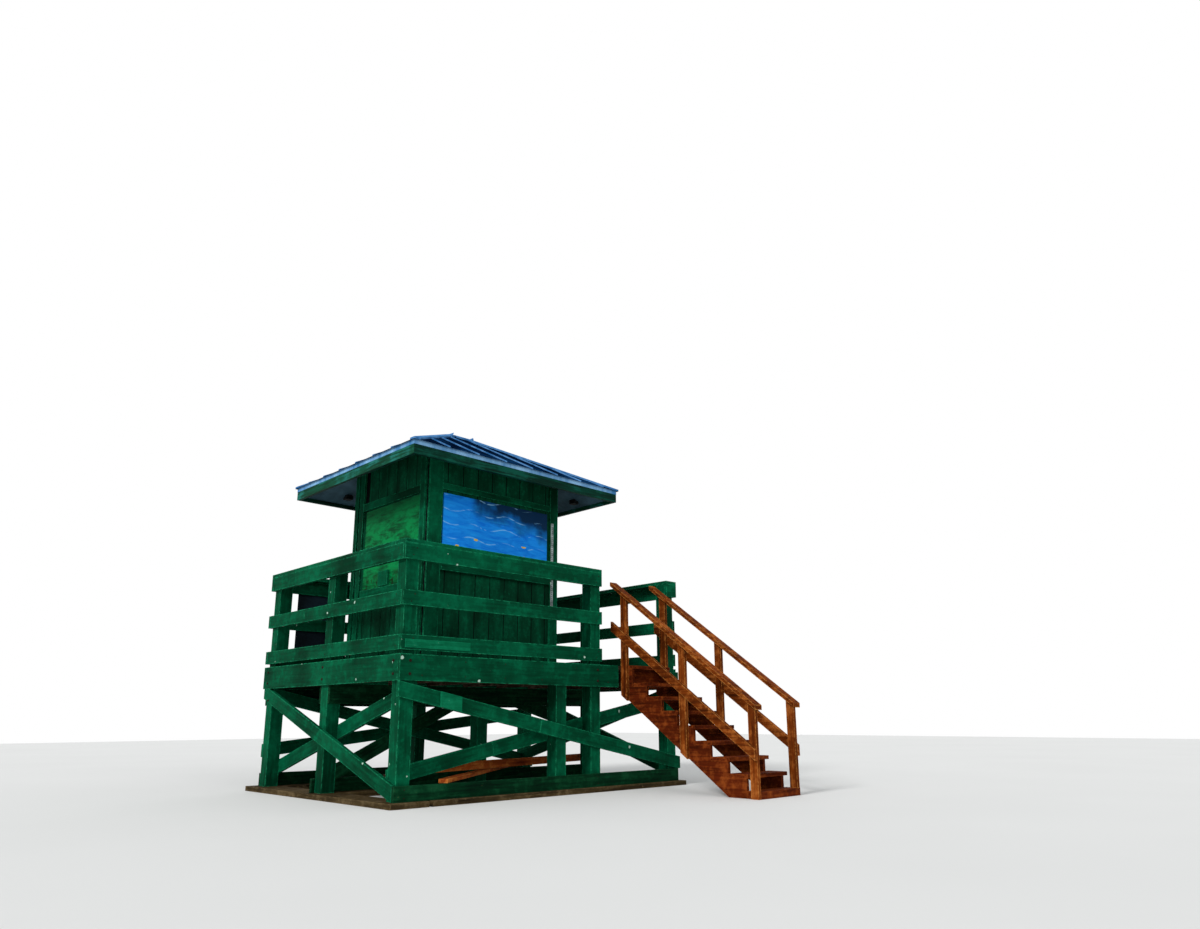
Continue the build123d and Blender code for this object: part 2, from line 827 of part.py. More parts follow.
def raked_board(front, back, height, slope, depth, x0, x1):
    """A board that follows the stair, plumb at both ends, by its height in line with the deck."""
    drop = plumb_depth(depth, slope)
    low, high = height + slope * front, height + slope * back
    return side_outline([(front, low), (back, high), (back, high - drop), (front, low - drop)],
                        x0, x1)


def stair_rails(outer, direction, handrail_rise, mid_rail_rise):
    """Flat handrail on the posts and a middle rail on their outer faces."""
    rail_inner = outer + direction * board
    cap_inner = outer + direction * handrail_width
    cap = raked_board(-handrail_front, handrail_back, deck_top + handrail_rise, handrail_slope,
                      board, min(outer, cap_inner), max(outer, cap_inner))
    middle = raked_board(-foot_board_front, stair_mid_rail_back, deck_top + mid_rail_rise,
                         stair_mid_rail_slope, width_four,
                         min(outer, rail_inner), max(outer, rail_inner))
    return [cap, middle]


def make_near_stair_rails():
    return stair_rails(stair_place - 2 * board, 1, near_handrail_rise, near_mid_rail_rise)


def make_far_stair_rails():
    return stair_rails(stair_end + 2 * board, -1, far_handrail_rise, far_mid_rail_rise)


def make_foot_board():
    """The timber at the foot of the stair, between the newels."""
    back = tread_front(tread_count - 1) + nosing
    return [block(stair_place, stair_end + tread_overhang, -foot_board_front, back,
                  0, tread_top(tread_count))]


def make_loose_boards():
    """Spare boards that lie across the sills under the deck."""
    y0, y1 = -loose_board_lap, middle_row + loose_board_lap
    return [plan_outline([(start, y0), (start + loose_board_width, y0),
                          (end + loose_board_width, y1), (end, y1)], sill_top, sill_top + board)
            for start, end in loose_boards]


pieces = {
    "ground_planks": make_ground_planks(),
    "front_posts": make_front_posts(),
    "middle_posts": make_middle_posts(),
    "back_posts": make_back_posts(),
    "sills": make_sills(),
    "front_braces": make_front_braces(),
    "back_braces": make_back_braces(),
    "left_braces": make_left_braces(),
    "right_braces": make_right_braces(),
    "middle_beam": make_middle_beam(),
    "deck_joists": make_deck_joists(),
    "deck_boards": make_deck_boards(),
    "deck_fascias": make_deck_fascias(),
    "landing_header": make_landing_header(),
    "landing_fascia": make_landing_fascia(),
    "landing_edge": make_landing_edge(),
    "front_railing": make_front_railing(),
    "left_railing": make_left_railing(),
    "back_railing": make_back_railing(),
    "right_railing": make_right_railing(),
    "back_panel": make_back_panel(),
    "front_wall": make_front_wall(),
    "back_wall": make_back_wall(),
    "left_wall": make_left_wall(),
    "right_wall": make_right_wall(),
    "corner_trims": make_corner_trims(),
    "window_trims": make_window_trims(),
    "front_shutter": make_front_shutter(),
    "left_shutter": make_left_shutter(),
    "back_shutter": make_back_shutter(),
    "door": make_door(),
    "door_trim": make_door_trim(),
    "door_hardware": make_door_hardware(),
    "roof_deck": make_roof_deck(),
    "eave_boards": make_eave_boards(),
    "drip_edge": make_drip_edge(),
    "roof_metal": make_roof_metal(),
    "roof_ribs": make_roof_ribs(),
    "hip_caps": make_hip_caps(),
    "perforated_strip": make_perforated_strip(),
    "stair_stringers": make_stair_stringers(),
    "stair_treads": make_stair_treads(),
    "stair_posts": make_stair_posts(),
    "near_stair_rails": make_near_stair_rails(),
    "far_stair_rails": make_far_stair_rails(),
    "foot_board": make_foot_board(),
    "loose_boards": make_loose_boards(),
}

solids = {name: [solid for shape in shapes for solid in shape.solids()]
          for name, shapes in pieces.items()}
whole = Compound([solid for group in solids.values() for solid in group]).bounding_box()
to_base_centre = Pos(-whole.center().X, -whole.center().Y, -whole.min.Z)
for name, group in solids.items():
    export_step(Compound([to_base_centre * solid for solid in group]), f"parts/{name}.step")
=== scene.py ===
# A lifeguard tower for the beach: worn paint, timber and metal for its pieces, and the finer boards,
# nails, bolts and small fittings on them. Every length is in metres, in the frame of the tower.

import math

import bmesh
import bpy
from mathutils import Matrix, Vector


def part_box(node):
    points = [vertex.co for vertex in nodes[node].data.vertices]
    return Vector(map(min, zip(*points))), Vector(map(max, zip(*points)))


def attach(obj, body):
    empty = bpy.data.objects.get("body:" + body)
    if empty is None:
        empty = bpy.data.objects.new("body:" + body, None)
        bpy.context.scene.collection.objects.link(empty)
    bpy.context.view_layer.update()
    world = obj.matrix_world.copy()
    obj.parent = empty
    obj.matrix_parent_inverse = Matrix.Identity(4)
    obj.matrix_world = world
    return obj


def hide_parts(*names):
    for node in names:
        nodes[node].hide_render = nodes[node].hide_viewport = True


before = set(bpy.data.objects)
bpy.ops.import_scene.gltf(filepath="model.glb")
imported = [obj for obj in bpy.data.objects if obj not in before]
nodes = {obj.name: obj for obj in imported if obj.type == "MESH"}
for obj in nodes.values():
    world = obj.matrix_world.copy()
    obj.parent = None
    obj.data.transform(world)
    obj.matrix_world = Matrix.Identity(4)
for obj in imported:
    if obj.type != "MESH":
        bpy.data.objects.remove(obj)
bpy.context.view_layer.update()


def place(name):
    """Lowest and highest corner of a node of the tower."""
    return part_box(name)


# Colours


def paint(code):
    """A colour written as a web code, in the linear values that a shader takes."""
    channels = [int(code[i:i + 2], 16) / 255 for i in (0, 2, 4)]
    linear = [c / 12.92 if c <= 0.04045 else ((c + 0.055) / 1.055) ** 2.4 for c in channels]
    return (*linear, 1.0)


GREEN_DARK, GREEN, GREEN_LIGHT = paint("002b19"), paint("004a2f"), paint("046341")
# A darker copy of the green for the sills and the boards under the deck: painted shade.
SHADED_LOW_DARK, SHADED_LOW_GREEN, SHADED_LOW_LIGHT = paint("02170c"), paint("032f19"), paint("12492c")
# The green edge colour is a painted highlight on the board edges, together with wear.
PATCH_LIGHT, GREEN_EDGE_HIGHLIGHT = paint("0e7450"), paint("27a070")
CHALK, CHIP, RAW = paint("6f9c86"), paint("a8c4b4"), paint("6a4a33")
SHUTTER_DARK, SHUTTER_GREEN, SHUTTER_LIGHT = paint("003f20"), paint("006032"), paint("007f42")
STAIN = paint("140c08")
# Eave board tones: the teal is the painted sunlit side, and the dark copy below it is the painted shade
# of the other faces.
SUNLIT_TEAL_DARK, SUNLIT_TEAL, SUNLIT_TEAL_LIGHT = paint("03301f"), paint("0a4a35"), paint("1f6a60")
SHADED_TEAL_DARK, SHADED_TEAL, SHADED_TEAL_LIGHT = paint("001c14"), paint("003326"), paint("084a3c")
STAIR_DARK, STAIR_BROWN, STAIR_LIGHT = paint("3a1503"), paint("75340a"), paint("a9622a")
# The stair edge colour is a painted highlight on the edges of the stair's boards, together with wear.
STAIR_EDGE_HIGHLIGHT = paint("d09048")
TREAD_DARK, TREAD_RED, TREAD_LIGHT = paint("2c0c02"), paint("561d06"), paint("8a4318")
GROUND_DARK, GROUND_BROWN, GROUND_GREY = paint("21190f"), paint("43361f"), paint("6b5b42")
DECK_DARK, DECK_BROWN, DECK_GREY = paint("21180f"), paint("433424"), paint("6e6253")
LOOSE_DARK, LOOSE_RED, LOOSE_ORANGE = paint("5a1e08"), paint("9c4a1a"), paint("c07838")
ZINC_DARK, ZINC, ZINC_LIGHT = paint("010612"), paint("041a3a"), paint("12406e")
# Ribs and hip caps: a lighter copy of the roof's zinc, a painted highlight on the raised metal.
RIB_SHEEN_DARK, RIB_SHEEN = paint("2a5f94"), paint("5f93c6")
DRIP_DARK, DRIP = paint("3c74a6"), paint("86b4da")
STRIP_DARK, STRIP_GREY = paint("6f7c7a"), paint("b3bfc0")
# The underside of the roof: its pale grey paint darkened to blue-grey, as painted shade under the
# eaves.
SHADED_UNDERSIDE_DARK, SHADED_UNDERSIDE = paint("273e4a"), paint("4a6a7b")
BLUE_DEEP, BLUE, BLUE_LIGHT = paint("072a4a"), paint("0570dc"), paint("1d97f4")
CREST, SUNNY = paint("8cc8f0"), paint("d9b53a")
PANEL_DARK, PANEL_BLUE = paint("0e181e"), paint("1c2d38")
BLACK, BLACK_WORN = paint("07090a"), paint("16191a")
RUST_DARK, RUST = paint("0d0704"), paint("2a160c")
STEEL_DARK, STEEL = paint("3a3a38"), paint("77776f")
FLOOR_GREY, FLOOR_PALE = paint("dcdcda"), paint("e2e2e0")
SKY_LIGHT, WHITE = (0.94, 0.97, 1.0, 1.0), (1.0, 1.0, 1.0, 1.0)

# Shaders


class Shader:
    """One node material, with short ways to add and join its nodes."""

    def __init__(self, name):
        self.material = bpy.data.materials.new(name)
        self.material.use_nodes = True
        self.tree = self.material.node_tree
        self.tree.nodes.clear()
        self.output = self.tree.nodes.new("ShaderNodeOutputMaterial")
        self.surface = self.tree.nodes.new("ShaderNodeBsdfPrincipled")
        self.tree.links.new(self.surface.outputs[0], self.output.inputs["Surface"])
        self.coords = self.add("TexCoord", {}, out="Object")

    def node(self, kind, inputs, **settings):
        """A new node. Each input takes a plain value or another node's output."""
        node = self.tree.nodes.new("ShaderNode" + kind)
        for name, value in settings.items():
            setattr(node, name, value)
        self.feed(node, inputs)
        return node

    def add(self, kind, inputs, out=0, **settings):
        """One output of a new node."""
        return self.node(kind, inputs, **settings).outputs[out]

    def feed(self, node, inputs):
        for name, value in inputs.items():
            if isinstance(value, bpy.types.NodeSocket):
                self.tree.links.new(value, node.inputs[name])
            else:
                node.inputs[name].default_value = value

    def math(self, operation, a, b=0.0):
        return self.add("Math", {0: a, 1: b}, operation=operation)

    def largest(self, first, *others):
        for other in others:
            first = self.math("MAXIMUM", first, other)
        return first

    def near(self, value, centre, reach):
        """1 where a value lies no further than this from the centre, or else 0."""
        return self.add("Math", {0: value, 1: centre, 2: reach}, operation="COMPARE")

    def position(self):
        """Where a point lies, as its x, y and z."""
        split = self.node("SeparateXYZ", {0: self.coords})
        return split.outputs["X"], split.outputs["Y"], split.outputs["Z"]

    def facing(self, axis):
        """How squarely the surface faces along an axis, from -1 to 1."""
        return self.add("SeparateXYZ", {0: self.add("NewGeometry", {}, out="True Normal")}, out=axis)

    def stretched(self, scale):
        return self.add("VectorMath", {0: self.coords, 1: scale}, operation="MULTIPLY")

    def noise(self, vector, scale, detail=4.0, roughness=0.5, distortion=0.0):
        return self.add("TexNoise", {"Vector": vector, "Scale": scale, "Detail": detail,
                                     "Roughness": roughness, "Distortion": distortion})

    def remap(self, value, low, high, to_low=0.0, to_high=1.0):
        """A value's place between low and high, held within the new range."""
        return self.add("MapRange", {"Value": value, "From Min": low, "From Max": high,
                                     "To Min": to_low, "To Max": to_high})

    def blend(self, factor, a, b):
        return self.add("Mix", {0: factor, 6: a, 7: b}, out=2, data_type="RGBA")

    def blend_vectors(self, factor, a, b):
        return self.add("Mix", {0: factor, 4: a, 5: b}, out=1, data_type="VECTOR")

    def bump(self, height, strength, distance):
        return self.add("Bump", {"Height": height, "Strength": strength, "Distance": distance})

    def finish(self, **inputs):
        """Sets the surface and gives back the material."""
        names = {"color": "Base Color", "rough": "Roughness", "normal": "Normal",
                 "specular": "Specular IOR Level"}
        self.feed(self.surface, {names[key]: value for key, value in inputs.items()})
        return self.material


# Timber and painted boards

ALONG, ACROSS = 0.9, 14.0      # how a board's grain is drawn out along it and packed across it
EDGE_RADIUS = 0.014            # how far the painted edge highlight and the wear reach in from an edge
SPECK_SCALE, SPECK_SHARE = 7.0, 0.62    # cells to the metre, and the share of them with no speck
BOARD_ROUGHNESS = (0.62, 0.87)
BOARD_SHINE = 0.03


def grain_vector(shader, run):
    """Coordinates drawn out along the run of the boards: x, y, z, or by the face's direction."""
    scales = {"x": (ALONG, ACROSS, ACROSS), "y": (ACROSS, ALONG, ACROSS), "z": (ACROSS, ACROSS, ALONG)}
    if run != "edges":
        return shader.stretched(scales[run])
    side = shader.math("GREATER_THAN", shader.math("ABSOLUTE", shader.facing("X")), 0.5)
    return shader.blend_vectors(side, shader.stretched(scales["x"]), shader.stretched(scales["y"]))


def edge_highlight_and_wear(shader):
    """How far a point lies on an outer edge of its piece, from 0 to 1, broken up by noise: the mask of
    the painted edge highlight and the edge wear.
    """
    rounded = shader.add("Bevel", {"Radius": EDGE_RADIUS}, samples=4)
    normal = shader.add("NewGeometry", {}, out="True Normal")
    match = shader.add("VectorMath", {0: rounded, 1: normal}, out="Value", operation="DOT_PRODUCT")
    broken = shader.noise(shader.coords, scale=23.0, detail=5.0, roughness=0.65)
    return shader.math("MULTIPLY", shader.remap(match, 0.995, 0.93), shader.remap(broken, 0.40, 0.62))


def pale_specks(shader, ragged_by):
    """Small ragged chips in some cells of a loose grid, from 0 to 1."""
    cells = shader.node("TexVoronoi", {"Vector": shader.coords, "Scale": SPECK_SCALE})
    draw = shader.add("SeparateXYZ", {0: cells.outputs["Color"]})
    chosen = shader.math("GREATER_THAN", draw, SPECK_SHARE)
    ragged = shader.math("ADD", cells.outputs["Distance"], shader.math("MULTIPLY", ragged_by, 0.55))
    return shader.math("MULTIPLY", shader.remap(ragged, 0.36, 0.34), chosen)


def boards(name, run, tones, worn, wear, grain=1.0, relief=0.5, edge=None, specks=False):
    """Sawn boards, painted or bare: long grain, uneven tone, edges lightened by painted highlight and
    by wear, and worn patches.

    Tones go from dark to light. Worn is the colour of the patches, which grow rarer as wear rises.
    """
    dark, middle, light = tones
    shader = Shader(name)
    vector = grain_vector(shader, run)
    streaks = shader.noise(vector, scale=2.2, detail=8.0, roughness=0.62, distortion=0.4)
    fine = shader.noise(vector, scale=9.0, detail=4.0, roughness=0.6)
    tone = shader.noise(shader.coords, scale=1.3, detail=5.0, roughness=0.6)
    blotches = shader.noise(shader.coords, scale=11.0, detail=6.0, roughness=0.7)
    share = 0.55 * grain
    mixed = shader.math("ADD", shader.math("MULTIPLY", streaks, share),
                        shader.math("MULTIPLY", tone, 1.0 - share))
    body = shader.blend(shader.remap(mixed, 0.38, 0.56), dark, middle)
    pale = shader.remap(shader.math("MULTIPLY", mixed, blotches), 0.24, 0.38, 0.0, 0.85)
    body = shader.blend(pale, body, light)
    body = shader.blend(shader.remap(fine, 0.30, 0.40, 0.45 * grain, 0.0), body, dark)
    # Painted highlight with wear: the edges blend towards the light edge colour.
    body = shader.blend(shader.math("MULTIPLY", edge_highlight_and_wear(shader), 0.85), body, edge or light)
    chips = shader.math("MULTIPLY", shader.remap(blotches, wear, wear + 0.05),
                        shader.remap(fine, 0.5, 0.58))
    body = shader.blend(chips, body, worn)
    if specks:
        body = shader.blend(pale_specks(shader, blotches), body, CHIP)
    height = shader.math("ADD", shader.math("MULTIPLY", fine, 0.6), streaks)
    return shader.finish(color=body, rough=shader.remap(blotches, 0.3, 0.7, *BOARD_ROUGHNESS),
                         normal=shader.bump(height, relief * grain, 0.004), specular=BOARD_SHINE)


def stained_shutter(name, low, high):
    """Brushed green, darker towards the top, with dark rusty stains along the foot."""
    shader = Shader(name)
    up = shader.remap(shader.position()[2], low.z, high.z)
    streaks = shader.noise(shader.stretched((14.0, 2.2, 9.0)), scale=2.0, detail=8.0, roughness=0.65,
                           distortion=0.6)
    blotches = shader.noise(shader.coords, scale=7.0, detail=6.0, roughness=0.68)
    body = shader.blend(shader.remap(streaks, 0.36, 0.56), SHUTTER_DARK, SHUTTER_GREEN)
    bright = shader.math("MULTIPLY", shader.remap(up, 0.98, 0.55),
                         shader.remap(shader.math("MULTIPLY", streaks, blotches), 0.19, 0.30))
    body = shader.blend(bright, body, SHUTTER_LIGHT)
    body = shader.blend(shader.math("MULTIPLY", shader.remap(blotches, 0.72, 0.78), 0.3), body, CHALK)
    foot = shader.math("MULTIPLY", shader.remap(up, 0.22, 0.10), shader.remap(blotches, 0.46, 0.54))
    body = shader.blend(shader.math("MULTIPLY", foot, 0.9), body, STAIN)
    return shader.finish(color=body, rough=0.6, normal=shader.bump(streaks, 0.3, 0.003),
                         specular=0.04)


# Painted shade, in black, in the gaps on the left wall, measured from the near corner of the siding
NEAR_GAP = 0.029                          # width of the one at that corner
FAR_GAP, FAR_GAP_WIDTH = 1.456, 0.045     # middle and width of the one between the far trims
STRIP_WIDTH = 0.075                       # of the strip of painted shade above the shutter, by the far trim
GROOVE_START, GROOVE_FULL = 0.001, 0.003  # depths where the painted shade in a groove starts, and is darkest


def outside(shader, low, high):
    """How far a point lies outside the siding's outer faces, below zero where it lies inside."""
    x, y, _ = shader.position()
    return shader.largest(shader.math("SUBTRACT", low.x, x), shader.math("SUBTRACT", x, high.x),
                          shader.math("SUBTRACT", low.y, y), shader.math("SUBTRACT", y, high.y))


def left_wall_gap_shade(shader, low, shutter):
    """1 in the gaps beside the corner trims and the shutter of the left wall, which take painted shade
    in black.
    """
    _, y, z = shader.position()
    at_corner = shader.math("LESS_THAN", y, low.y + NEAR_GAP)
    at_far_trims = shader.near(y, low.y + FAR_GAP, FAR_GAP_WIDTH / 2)
    by_shutter = shader.near(y, shutter[1].y + STRIP_WIDTH / 2, STRIP_WIDTH / 2)
    above = shader.math("GREATER_THAN", z, shutter[1].z)
    gap_shade = shader.largest(at_corner, at_far_trims, shader.math("MULTIPLY", by_shutter, above))
    return shader.math("MULTIPLY", shader.math("LESS_THAN", shader.facing("X"), -0.5), gap_shade)


def wall_boards(name, low, high, shutter):
    """Grooved siding: even paint, with painted shade in black in the grooves and in the gaps beside the
    corner trims.
    """
    shader = Shader(name)
    stains = shader.noise(shader.stretched((5.0, 5.0, 0.8)), scale=1.8, detail=6.0, roughness=0.6,
                          distortion=0.3)
    cloud = shader.noise(shader.coords, scale=2.0, detail=5.0, roughness=0.6)
    grit = shader.noise(shader.coords, scale=28.0, detail=5.0, roughness=0.65)
    mixed = shader.math("MULTIPLY", shader.math("ADD", stains, cloud), 0.5)
    body = shader.blend(shader.remap(mixed, 0.38, 0.58), GREEN_DARK, GREEN)
    pale = shader.remap(shader.math("MULTIPLY", mixed, grit), 0.26, 0.38, 0.0, 0.8)
    body = shader.blend(pale, body, GREEN_LIGHT)
    # Painted shade: the grooves go black with their depth below the siding's face.
    groove_shade = shader.remap(outside(shader, low, high), -GROOVE_FULL, -GROOVE_START, 0.92, 0.0)
    body = shader.blend(groove_shade, body, BLACK)
    # Painted shade in the gaps of the left wall.
    body = shader.blend(left_wall_gap_shade(shader, low, shutter), body, BLACK)
    return shader.finish(color=body, rough=0.75, normal=shader.bump(grit, 0.25, 0.003), specular=0.05)


def eave_boards(name):
    """The eave boards in painted light: a sunlit teal with pale runs on the left faces, and a darker
    copy as painted shade on the others.
    """
    shader = Shader(name)
    # Left faces take the painted sunlit copy, the others the painted shade copy.
    left = shader.math("LESS_THAN", shader.facing("X"), -0.5)
    streaks = shader.noise(grain_vector(shader, "edges"), scale=2.6, detail=8.0, roughness=0.65,
                           distortion=0.3)
    cloud = shader.noise(shader.coords, scale=4.0, detail=5.0, roughness=0.6)
    tone = shader.remap(streaks, 0.38, 0.60)
    pale = shader.remap(shader.math("MULTIPLY", streaks, cloud), 0.26, 0.36)
    bright = shader.blend(pale, shader.blend(tone, SUNLIT_TEAL_DARK, SUNLIT_TEAL), SUNLIT_TEAL_LIGHT)
    dim = shader.blend(pale, shader.blend(tone, SHADED_TEAL_DARK, SHADED_TEAL), SHADED_TEAL_LIGHT)
    return shader.finish(color=shader.blend(left, dim, bright), rough=0.7,
                         normal=shader.bump(streaks, 0.3, 0.003), specular=0.06)


# Metal and plain paint

HOLE_PITCH, HOLE_WIDTH = 0.025, 0.014    # of the perforated strip
HOLE_SHARE = 0.45                        # how much of the pitch a hole takes


def sheet_metal(name, dark, middle, light, shine=0.0):
    """Dull painted zinc with soft dark runs down the slope and pale worn patches."""
    shader = Shader(name)
    runs = shader.noise(shader.stretched((5.0, 5.0, 1.0)), scale=1.6, detail=5.0, roughness=0.6,
                        distortion=0.3)
    cloud = shader.noise(shader.coords, scale=1.6, detail=4.0, roughness=0.55)
    body = shader.blend(shader.remap(runs, 0.36, 0.66), dark, middle)
    body = shader.blend(shader.remap(cloud, 0.52, 0.72, 0.0, 0.7), body, light)
    return shader.finish(color=body, rough=shader.remap(cloud, 0.3, 0.7, 0.5, 0.7),
                         normal=shader.bump(cloud, 0.05, 0.002), specular=shine)


def strip_paint(name, low, high):
    """A grey metal strip whose row of holes is painted dark, as the shade seen through them."""
    shader = Shader(name)
    x, _, z = shader.position()
    stains = shader.noise(shader.coords, scale=14.0, detail=5.0, roughness=0.6)
    body = shader.blend(shader.remap(stains, 0.4, 0.6), STRIP_DARK, STRIP_GREY)
    step = shader.math("FRACT", shader.math("MULTIPLY", z, 1 / HOLE_PITCH))
    off = shader.math("ABSOLUTE", shader.math("SUBTRACT", x, (low.x + high.x) / 2))
    hole_shade = shader.math("MULTIPLY", shader.math("LESS_THAN", step, HOLE_SHARE),
                       shader.math("LESS_THAN", off, HOLE_WIDTH / 2))
    # The holes are painted shade.
    return shader.finish(color=shader.blend(hole_shade, body, BLACK_WORN), rough=0.6, specular=0.2)


def plain_paint(name, dark, middle, scale=2.0, gloss=0.6, shine=0.1):
    """Flat paint with soft stains."""
    shader = Shader(name)
    stains = shader.noise(shader.coords, scale=scale, detail=6.0, roughness=0.6)
    grit = shader.noise(shader.coords, scale=40.0, detail=3.0)
    body = shader.blend(shader.remap(stains, 0.35, 0.6), dark, middle)
    return shader.finish(color=body, rough=shader.remap(grit, 0.3, 0.7, gloss, gloss + 0.2),
                         normal=shader.bump(grit, 0.2, 0.002), specular=shine)


# The painted sea of the front shutter

WAVE_RADIANS, WAVE_SWING = 19.0, 0.03     # over the shutter's width, and as a share of its height
WAVE_LINES = 5.0                          # over its height
DAB_SCALE, DAB_TOP = 4.2, 0.42            # dabs to the metre, and how far up they reach


def wave_lines(shader, across, height, brush):
    """Pale lines that swing up and down, broken up by the brush strokes."""
    swing = shader.math("SINE", shader.math("MULTIPLY", across, WAVE_RADIANS))
    swell = shader.math("ADD", height, shader.math("MULTIPLY", swing, WAVE_SWING))
    band = shader.math("FRACT", shader.math("MULTIPLY", swell, WAVE_LINES))
    return shader.math("MULTIPLY", shader.remap(band, 0.90, 0.95), shader.remap(brush, 0.48, 0.56))


def painted_sea(name, low, high):
    """A loosely brushed blue ground, dark at the upper right, with pale crests and yellow dabs."""
    shader = Shader(name)
    x, _, z = shader.position()
    across, height = shader.remap(x, low.x, high.x), shader.remap(z, low.z, high.z)
    brush = shader.noise(shader.stretched((2.0, 8.0, 9.0)), scale=1.6, detail=7.0, roughness=0.65,
                         distortion=1.2)
    cloud = shader.noise(shader.coords, scale=2.4, detail=4.0, roughness=0.55)
    body = shader.blend(shader.remap(brush, 0.36, 0.64), BLUE, BLUE_LIGHT)
    slant = shader.math("ADD", height, shader.math("MULTIPLY", across, 0.45))
    slant = shader.math("ADD", slant, shader.math("MULTIPLY", cloud, 0.9))
    body = shader.blend(shader.remap(slant, 1.35, 1.62), body, BLUE_DEEP)
    crest = wave_lines(shader, across, height, brush)
    body = shader.blend(shader.math("MULTIPLY", crest, 0.6), body, CREST)
    dabs = shader.add("TexVoronoi", {"Vector": shader.stretched((1.0, 1.0, 2.2)), "Scale": DAB_SCALE},
                      out="Distance")
    dab = shader.math("MULTIPLY", shader.remap(dabs, 0.16, 0.13),
                      shader.math("LESS_THAN", height, DAB_TOP))
    body = shader.blend(dab, body, SUNNY)
    return shader.finish(color=body, rough=shader.remap(brush, 0.3, 0.7, 0.5, 0.7),
                         normal=shader.bump(brush, 0.25, 0.002), specular=0.05)


# Materials of the tower

siding_low = Vector((place("left_wall")[0].x, place("front_wall")[0].y, 0.0))
siding_high = Vector((place("right_wall")[1].x, place("back_wall")[1].y, 0.0))
green_tones, shaded_low_tones = (GREEN_DARK, GREEN, GREEN_LIGHT), (SHADED_LOW_DARK, SHADED_LOW_GREEN, SHADED_LOW_LIGHT)
stair_tones, tread_tones = (STAIR_DARK, STAIR_BROWN, STAIR_LIGHT), (TREAD_DARK, TREAD_RED, TREAD_LIGHT)
deck_tones, ground_tones = (DECK_DARK, DECK_BROWN, DECK_GREY), (GROUND_DARK, GROUND_BROWN, GROUND_GREY)

green = {run: boards("green_" + run, run, green_tones, CHALK, wear=0.70, grain=0.55, edge=GREEN_EDGE_HIGHLIGHT,
                     specks=True) for run in ("x", "y", "z", "edges")}
# Painted shade: the green darkened for the sills, beams and braces under the deck, with raw wood
# showing where it is worn.
shaded_low_green = boards("shaded_low_green", "x", shaded_low_tones, RAW, wear=0.66)
patch_green = boards("patch_green", "x", (GREEN, GREEN_LIGHT, PATCH_LIGHT), CHALK, wear=0.66)
stair_wood = {run: boards("stair_" + run, run, stair_tones, STAIR_LIGHT, wear=0.66, edge=STAIR_EDGE_HIGHLIGHT)
              for run in ("y", "z")}
tread_wood = {run: boards("tread_" + run, run, tread_tones, TREAD_LIGHT, wear=0.66)
              for run in ("x", "y")}
loose_wood = boards("loose_wood", "x", (LOOSE_DARK, LOOSE_RED, LOOSE_ORANGE), LOOSE_ORANGE, wear=0.6)
ground_wood = boards("ground_wood", "edges", ground_tones, GROUND_GREY, wear=0.6, relief=0.9)
deck_wood = boards("deck_wood", "x", deck_tones, DECK_GREY, wear=0.55)
joist_wood = boards("joist_wood", "y", deck_tones, DECK_GREY, wear=0.6)
siding = wall_boards("siding", siding_low, siding_high, place("left_shutter"))
shutter_paint = {side: stained_shutter("shutter_paint_" + side, *place(side + "_shutter"))
                 for side in ("left", "back")}
sea = painted_sea("painted_sea", *place("front_shutter"))
eave_sunlit_and_shaded_paint = eave_boards("eave_sunlit_and_shaded_paint")
zinc = sheet_metal("zinc", ZINC_DARK, ZINC, ZINC_LIGHT)
# Ribs and hip caps in painted highlight: the same zinc, painted lighter.
rib_sheen_metal = sheet_metal("rib_sheen_metal", RIB_SHEEN_DARK, RIB_SHEEN, RIB_SHEEN)
drip_metal = sheet_metal("drip_metal", DRIP_DARK, DRIP, DRIP, shine=0.03)
strip_metal = strip_paint("strip_metal", *place("perforated_strip"))
# Painted shade: the pale underside darkened because it lies in shade.
shaded_underside = plain_paint("underside_paint", SHADED_UNDERSIDE_DARK, SHADED_UNDERSIDE)
panel_paint = plain_paint("panel_paint", PANEL_DARK, PANEL_BLUE)
black_paint = plain_paint("black_paint", BLACK, BLACK_WORN, scale=12.0)
nail_rust = plain_paint("nail_rust", RUST_DARK, RUST, scale=60.0, gloss=0.7)
fittings = plain_paint("fittings", STEEL_DARK, STEEL, scale=20.0, gloss=0.35, shine=0.5)

dress = {
    "ground_planks": ground_wood, "front_posts": green["z"], "middle_posts": green["z"],
    "back_posts": green["z"], "sills": shaded_low_green, "front_braces": green["x"],
    "back_braces": green["x"], "left_braces": green["y"], "right_braces": green["y"],
    "middle_beam": green["x"], "deck_joists": joist_wood, "deck_boards": deck_wood,
    "deck_fascias": green["edges"], "landing_fascia": green["x"], "landing_header": tread_wood["x"],
    "landing_edge": tread_wood["x"], "front_railing": green["x"], "left_railing": green["y"],
    "back_railing": green["x"], "right_railing": green["edges"], "back_panel": panel_paint,
    "front_wall": siding, "back_wall": siding, "left_wall": siding, "right_wall": siding,
    "corner_trims": green["z"], "window_trims": green["edges"], "front_shutter": sea,
    "left_shutter": shutter_paint["left"], "back_shutter": shutter_paint["back"], "door": green["z"],
    "door_trim": green["z"], "door_hardware": fittings, "roof_deck": shaded_underside,
    "eave_boards": eave_sunlit_and_shaded_paint, "drip_edge": drip_metal, "roof_metal": zinc, "roof_ribs": rib_sheen_metal,
    "hip_caps": rib_sheen_metal, "perforated_strip": strip_metal, "stair_stringers": tread_wood["y"],
    "stair_treads": tread_wood["x"], "stair_posts": stair_wood["z"],
    "near_stair_rails": stair_wood["y"], "far_stair_rails": stair_wood["y"],
    "foot_board": tread_wood["x"], "loose_boards": loose_wood,
}
for name, material in dress.items():
    mesh = nodes[name].data
    mesh.materials.clear()
    mesh.materials.append(material)

# Boards made here, measured from the near left corner of the deck and up from the ground

